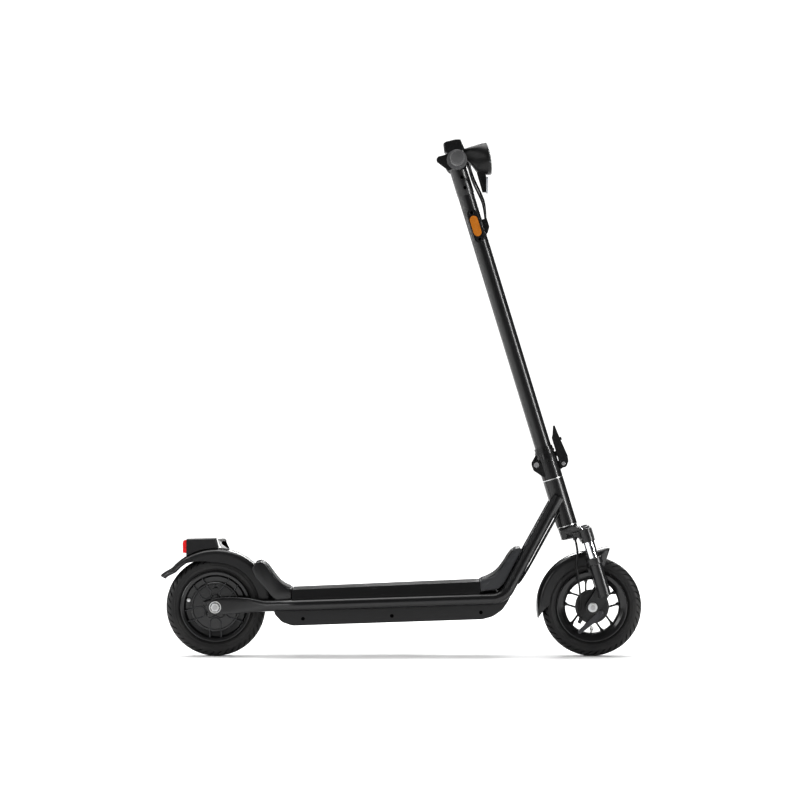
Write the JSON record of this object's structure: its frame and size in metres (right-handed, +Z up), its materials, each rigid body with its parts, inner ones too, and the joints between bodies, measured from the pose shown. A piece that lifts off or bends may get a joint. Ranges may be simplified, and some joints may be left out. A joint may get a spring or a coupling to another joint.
{
  "type": "electric kick scooter",
  "caption": "Folding electric kick scooter with sprung fork, hub motor rear wheel, drum brake front wheel, footdeck, lights and a handlebar stem.",
  "frame": {"origin": "on the floor, under the middle of the overall length and width", "axes": "+X forward, +Z up, +Y to the rider's left"},
  "size_m": [1.162, 0.54, 1.2479],
  "materials": {
    "frame_black": "satin black powder coat",
    "frame_grey": "dark grey coat",
    "plastic_black": "matte moulded plastic",
    "fender_black": "matte moulded plastic",
    "mat_rubber": "ribbed rubber",
    "grip_rubber": "soft rubber",
    "tyre_rubber": "matte tyre rubber",
    "wheel_black": "satin black cast wheel",
    "chrome_steel": "polished",
    "zinc_steel": "zinc-plated",
    "steel": "plain steel",
    "iron_core": "laminated core",
    "alloy": "machined",
    "alloy_black": "black anodised",
    "red_lens": "clear red moulding",
    "amber_lens": "amber prismatic moulding",
    "white_reflector": "clear prismatic moulding",
    "clear_lens": "clear moulding",
    "screen_glass": "dark display window",
    "cable_black": "cable jacket",
    "battery_wrap": "shrink wrap",
    "brake_lining": "lining"
  },
  "bodies": {
    "frame": {"head_tube": "frame_black", "headset_cups": "zinc_steel", "rail_right": "frame_black", "rail_left": "frame_black", "deck_hull": "plastic_black", "deck_plate": "frame_black", "deck_mat": "mat_rubber", "front_kick": "frame_grey", "rear_kick": "frame_black", "hull_screws": "zinc_steel", "rear_fender": "fender_black", "tail_light_housing": "plastic_black", "tail_light_lens": "red_lens", "fold_hook": "steel", "rear_axle": "steel", "rear_axle_nuts": "zinc_steel", "motor_stator": "iron_core", "battery_pack": "battery_wrap", "controller": "alloy", "harness_cable": "cable_black"},
    "steering": {"steerer_tube": "steel", "fork_crown": "frame_black", "stanchions": "chrome_steel", "headset_bearings": "steel", "fold_base": "alloy_black", "fold_pins": "steel"},
    "fork_lowers": {"fork_lower_right": "frame_black", "fork_lower_left": "frame_black", "fork_springs": "steel", "front_fender": "fender_black", "front_axle": "steel", "front_axle_nuts": "zinc_steel", "brake_plate": "alloy_black", "brake_shoes": "brake_lining", "brake_cable_lower": "cable_black"},
    "front_wheel": {"front_tyre": "tyre_rubber", "front_rim": "wheel_black", "front_bearings": "steel"},
    "rear_wheel": {"rear_tyre": "tyre_rubber", "rear_rim": "wheel_black", "motor_covers": "wheel_black"},
    "stem": {"stem_base": "alloy_black", "stem_tube": "frame_black", "bar_clamp": "alloy_black", "handlebar": "frame_black", "grips": "grip_rubber", "console_housing": "plastic_black", "console_screen": "screen_glass", "headlight_housing": "plastic_black", "headlight_lens": "clear_lens", "front_reflector": "white_reflector", "side_reflectors": "amber_lens", "bar_cables": "cable_black", "brake_perch": "alloy_black", "throttle_housing": "plastic_black"},
    "throttle": {"throttle_paddle": "plastic_black"},
    "brake_lever": {"brake_lever": "alloy_black"},
    "latch_lever": {"latch_lever": "alloy_black"},
    "kickstand": {"kickstand_leg": "alloy_black"},
    "brake_arm": {"brake_arm": "zinc_steel"}
  },
  "joints": [
    {"name": "steering_turn", "type": "hinge", "parent": "frame", "child": "steering", "pos_m": [0.461, 0, 0.12], "axis": [-0.2924, 0, 0.9563], "range_deg": [-50, 50]},
    {"name": "fork_travel", "type": "slide", "parent": "steering", "child": "fork_lowers", "axis": [-0.2924, 0, 0.9563], "range_m": [0, 0.03], "stiffness_N_per_m": 15000, "springref_m": -0.012, "deforming": ["fork_springs", "brake_cable_lower"]},
    {"name": "front_wheel_spin", "type": "hinge", "parent": "fork_lowers", "child": "front_wheel", "pos_m": [0.461, 0, 0.12], "axis": [0, 1, 0], "continuous": true},
    {"name": "rear_wheel_spin", "type": "hinge", "parent": "frame", "child": "rear_wheel", "pos_m": [-0.448, 0, 0.12], "axis": [0, 1, 0], "continuous": true},
    {"name": "stem_fold", "type": "hinge", "parent": "steering", "child": "stem", "pos_m": [0.32674, 0, 0.46168], "axis": [0, -1, 0], "range_deg": [0, 85]},
    {"name": "latch_turn", "type": "hinge", "parent": "steering", "child": "latch_lever", "pos_m": [0.39262, 0, 0.46509], "axis": [0, 1, 0], "range_deg": [0, 100]},
    {"name": "throttle_push", "type": "hinge", "parent": "stem", "child": "throttle", "pos_m": [0.13275, -0.138, 1.19364], "axis": [0, -1, 0], "range_deg": [0, 40], "stiffness_Nm_per_rad": 0.3, "springref_deg": -17.19},
    {"name": "brake_lever_pull", "type": "hinge", "parent": "stem", "child": "brake_lever", "pos_m": [0.16144, 0.126, 1.20242], "axis": [-0.2924, 0, 0.9563], "range_deg": [0, 15], "stiffness_Nm_per_rad": 1.2, "springref_deg": -11.46},
    {"name": "brake_arm_turn", "type": "hinge", "parent": "fork_lowers", "child": "brake_arm", "pos_m": [0.4818, -0.036, 0.1036], "axis": [0, 1, 0], "range_deg": [0, 12]},
    {"name": "kickstand_swing", "type": "hinge", "parent": "frame", "child": "kickstand", "pos_m": [0.04, 0.076, 0.097], "axis": [0, -1, 0], "range_deg": [0, 100]}
  ],
  "couplings": [
    {"joint": "brake_arm_turn", "follows": "brake_lever_pull", "ratio": 0.8}
  ]
}
